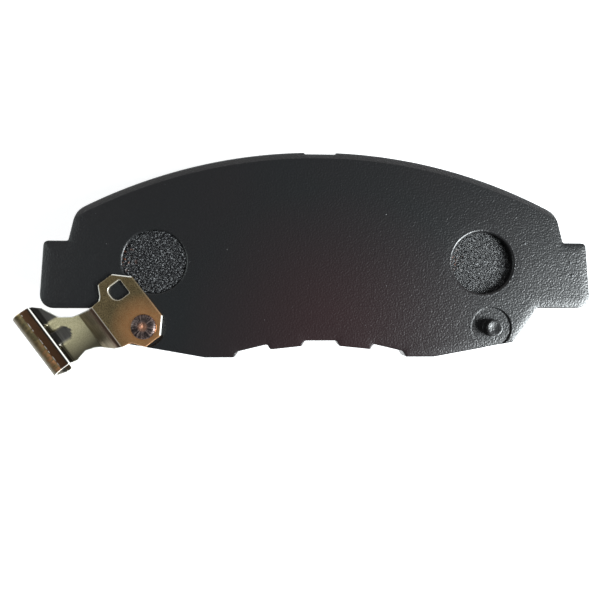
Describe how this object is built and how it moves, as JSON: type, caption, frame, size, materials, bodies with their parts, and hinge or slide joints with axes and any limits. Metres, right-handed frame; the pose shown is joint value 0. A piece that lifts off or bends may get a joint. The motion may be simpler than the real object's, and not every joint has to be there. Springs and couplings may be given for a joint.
{
  "type": "disc brake pad",
  "caption": "Disc-brake pad: black steel backing plate with two mounting lugs, bonded friction lining with a centre slot, and a riveted spring-steel wear indicator.",
  "frame": {"origin": "centre of the plate's back face, where the caliper piston or finger presses", "axes": "+X along the pad, +Y radially outwards from the disc's axle, +Z from the friction face out through the plate's back"},
  "size_m": [0.1596, 0.062, 0.0192],
  "materials": {
    "black_powder_coat": "satin black powder coat with a fine orange-peel grain",
    "cured_resin": "cured phenolic adhesive",
    "underlayer_mix": "rough moulded friction mix, dark grey",
    "lining_mix": "ground friction mix with metal flecks",
    "yellow_zinc": "yellow-passivated zinc plating"
  },
  "bodies": {
    "root": {"backing_plate": "black_powder_coat", "bond_film": "cured_resin", "underlayer": "underlayer_mix", "friction_lining": "lining_mix", "wear_indicator": "yellow_zinc"}
  },
  "joints": []
}
